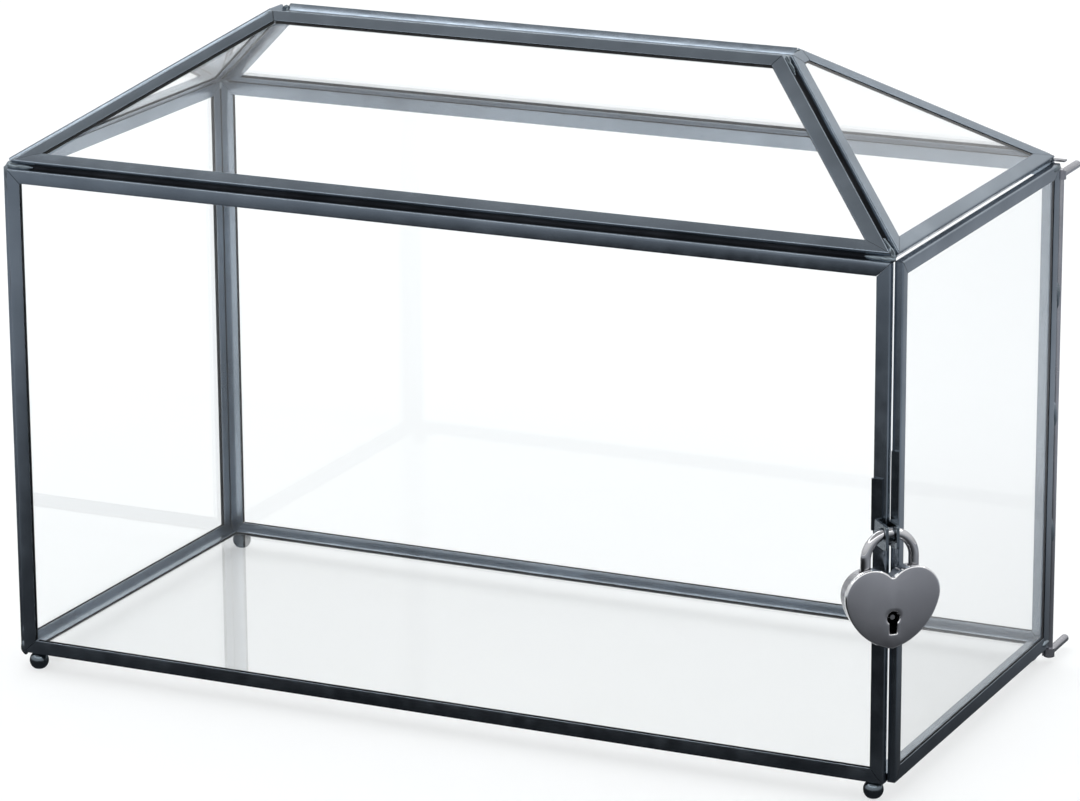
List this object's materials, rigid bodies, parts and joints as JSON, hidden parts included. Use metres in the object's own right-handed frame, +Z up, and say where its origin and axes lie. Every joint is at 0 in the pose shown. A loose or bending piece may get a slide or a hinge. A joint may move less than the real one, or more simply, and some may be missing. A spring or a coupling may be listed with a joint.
{
  "type": "wedding card box",
  "caption": "Glass house-shaped wedding card box with metal-framed panes, a card slot along the ridge, a hinged end door and a heart padlock",
  "frame": {"origin": "bottom centre of the whole object's box, on the surface its feet stand on", "axes": "+X towards the door end, along the ridge; -Y is the front with the padlock's corner at its right; +Z up"},
  "size_m": [0.3546, 0.1966, 0.2357],
  "materials": {
    "glass": "clear polished sheet glass",
    "frame_metal": "dark blue-grey plated strip, semi-gloss",
    "solder": "dark plated solder, lumpy and semi-gloss",
    "rod_metal": "plain drawn wire, satin",
    "padlock_metal": "gunmetal plating, glossy",
    "shackle_metal": "bright plated wire",
    "lock_parts": "plain steel"
  },
  "bodies": {
    "root": {"back_frame": "frame_metal", "back_glass": "glass", "base_frame": "frame_metal", "base_glass": "glass", "corner_solder": "solder", "foot_back_left": "frame_metal", "foot_back_right": "frame_metal", "foot_front_left": "frame_metal", "foot_front_right": "frame_metal", "front_frame": "frame_metal", "front_glass": "glass", "hasp_front": "frame_metal", "hinge_cap": "frame_metal", "hinge_post_lower": "rod_metal", "hinge_post_upper": "rod_metal", "left_frame": "frame_metal", "left_glass": "glass", "roof_back_frame": "frame_metal", "roof_back_glass": "glass", "roof_front_frame": "frame_metal", "roof_front_glass": "glass", "roof_left_frame": "frame_metal", "roof_left_glass": "glass", "roof_right_frame": "frame_metal", "roof_right_glass": "glass"},
    "door": {"door_frame": "frame_metal", "door_glass": "glass", "hinge_pin": "rod_metal", "hasp_door": "frame_metal"},
    "shackle": {"shackle": "shackle_metal"},
    "padlock": {"padlock_case": "padlock_metal", "padlock_face": "padlock_metal", "key_post": "lock_parts", "case_pins": "lock_parts"},
    "latch": {"latch": "lock_parts", "latch_spring": "lock_parts"}
  },
  "joints": [
    {"name": "door_hinge", "type": "hinge", "parent": "root", "child": "door", "pos_m": [0.16249, 0.08012, 0.09], "axis": [0, 0, 1], "range_deg": [0, 110]},
    {"name": "padlock_swing", "type": "hinge", "parent": "door", "child": "shackle", "pos_m": [0.16269, -0.08376, 0.09618], "axis": [-0.7071, -0.7071, 0], "range_deg": [0, 60]},
    {"name": "padlock_slide", "type": "slide", "parent": "shackle", "child": "padlock", "axis": [0, 0, -1], "range_m": [0, 0.006]},
    {"name": "latch_slide", "type": "slide", "parent": "padlock", "child": "latch", "axis": [0.7071, 0.7071, 0], "range_m": [0, 0.0012]}
  ]
}
